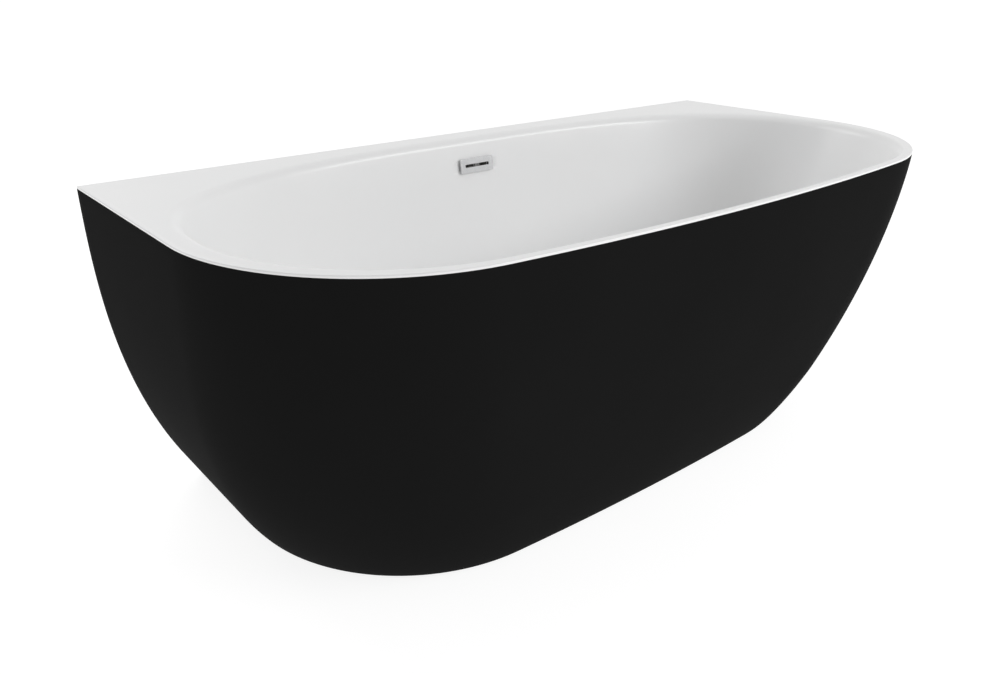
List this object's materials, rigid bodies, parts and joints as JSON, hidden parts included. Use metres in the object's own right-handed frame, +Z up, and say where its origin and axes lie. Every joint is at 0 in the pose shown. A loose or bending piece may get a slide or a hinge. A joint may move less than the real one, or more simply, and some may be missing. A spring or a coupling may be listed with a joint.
{
  "type": "freestanding bathtub",
  "caption": "Back-to-wall bathtub: white oval basin in a flat-backed rim, tapered matt black skirt, slotted overflow, push-open waste, trap and levelling feet on a steel underframe.",
  "frame": {"origin": "on the floor, under the centre of the overall box", "axes": "+X along the wall to the right as seen from the front, +Y towards the wall, +Z up"},
  "size_m": [1.5, 0.75, 0.58],
  "materials": {
    "acrylic_white": "glossy white sanitary acrylic",
    "acrylic_black": "matt black moulded panel",
    "timber": "unfinished plywood and batten",
    "galvanised": "galvanised steel",
    "zinc": "bright zinc-plated steel",
    "black_plastic": "moulded black nylon",
    "grey_plastic": "grey moulded plastic",
    "chrome": "polished chrome plate",
    "rubber": "black rubber seal",
    "white_plastic": "moulded white polypropylene"
  },
  "bodies": {
    "tub": {"bath_shell": "acrylic_white", "outer_skirt": "acrylic_black", "rear_batten_left": "timber", "rear_batten_right": "timber", "base_board": "timber", "cross_rail_left": "galvanised", "cross_rail_right": "galvanised", "long_rail_front": "galvanised", "long_rail_back": "galvanised", "rail_caps": "black_plastic", "board_screws": "zinc", "rail_nuts": "zinc", "skirt_bracket_front_left": "galvanised", "skirt_bracket_front_right": "galvanised", "skirt_stay_left": "galvanised", "skirt_stay_right": "galvanised", "bracket_screws": "zinc", "overflow_cover": "chrome", "overflow_bezel": "grey_plastic", "overflow_gasket": "rubber", "overflow_screw": "grey_plastic", "overflow_seal": "rubber", "overflow_body": "white_plastic", "overflow_pipe": "white_plastic", "pipe_nut_top": "white_plastic", "pipe_nut_bottom": "white_plastic", "waste_flange": "chrome", "flange_seal": "rubber", "waste_body": "white_plastic", "body_seal": "rubber", "plug_cartridge": "chrome", "trap_nut": "white_plastic", "trap_washer": "rubber"},
    "plug": {"plug_cap": "chrome", "plug_seal": "rubber", "plug_stem": "chrome"},
    "trap": {"trap_body": "white_plastic", "outlet_washer": "rubber", "outlet_nut": "white_plastic", "outlet_pipe": "white_plastic"},
    "pad_1": {"foot_pad_1": "black_plastic"},
    "screw_1": {"foot_rod_1": "zinc", "lock_nut_1": "zinc"},
    "pad_2": {"foot_pad_2": "black_plastic"},
    "screw_2": {"foot_rod_2": "zinc", "lock_nut_2": "zinc"},
    "pad_3": {"foot_pad_3": "black_plastic"},
    "screw_3": {"foot_rod_3": "zinc", "lock_nut_3": "zinc"},
    "pad_4": {"foot_pad_4": "black_plastic"},
    "screw_4": {"foot_rod_4": "zinc", "lock_nut_4": "zinc"},
    "pad_5": {"foot_pad_5": "black_plastic"},
    "screw_5": {"foot_rod_5": "zinc", "lock_nut_5": "zinc"}
  },
  "joints": [
    {"name": "plug_lift", "type": "slide", "parent": "tub", "child": "plug", "axis": [0, 0, 1], "range_m": [0, 0.01]},
    {"name": "trap_swivel", "type": "hinge", "parent": "tub", "child": "trap", "pos_m": [0, 0.095, 0.086], "axis": [0, 0, 1], "range_deg": [-30, 30]},
    {"name": "foot_1_travel", "type": "slide", "parent": "tub", "child": "pad_1", "axis": [0, 0, -1], "range_m": [0, 0.025]},
    {"name": "foot_1_turn", "type": "hinge", "parent": "pad_1", "child": "screw_1", "pos_m": [-0.34, -0.14, 0.008], "axis": [0, 0, -1], "range_deg": [0, 5144.9]},
    {"name": "foot_2_travel", "type": "slide", "parent": "tub", "child": "pad_2", "axis": [0, 0, -1], "range_m": [0, 0.025]},
    {"name": "foot_2_turn", "type": "hinge", "parent": "pad_2", "child": "screw_2", "pos_m": [0.34, -0.14, 0.008], "axis": [0, 0, -1], "range_deg": [0, 5144.9]},
    {"name": "foot_3_travel", "type": "slide", "parent": "tub", "child": "pad_3", "axis": [0, 0, -1], "range_m": [0, 0.025]},
    {"name": "foot_3_turn", "type": "hinge", "parent": "pad_3", "child": "screw_3", "pos_m": [-0.34, 0.12, 0.008], "axis": [0, 0, -1], "range_deg": [0, 5144.9]},
    {"name": "foot_4_travel", "type": "slide", "parent": "tub", "child": "pad_4", "axis": [0, 0, -1], "range_m": [0, 0.025]},
    {"name": "foot_4_turn", "type": "hinge", "parent": "pad_4", "child": "screw_4", "pos_m": [0.34, 0.12, 0.008], "axis": [0, 0, -1], "range_deg": [0, 5144.9]},
    {"name": "foot_5_travel", "type": "slide", "parent": "tub", "child": "pad_5", "axis": [0, 0, -1], "range_m": [0, 0.025]},
    {"name": "foot_5_turn", "type": "hinge", "parent": "pad_5", "child": "screw_5", "pos_m": [0, -0.11, 0.008], "axis": [0, 0, -1], "range_deg": [0, 5144.9]}
  ],
  "couplings": [
    {"joint": "foot_1_turn", "follows": "foot_1_travel", "rad_per_m": 3590.4},
    {"joint": "foot_2_turn", "follows": "foot_2_travel", "rad_per_m": 3590.4},
    {"joint": "foot_3_turn", "follows": "foot_3_travel", "rad_per_m": 3590.4},
    {"joint": "foot_4_turn", "follows": "foot_4_travel", "rad_per_m": 3590.4},
    {"joint": "foot_5_turn", "follows": "foot_5_travel", "rad_per_m": 3590.4}
  ]
}
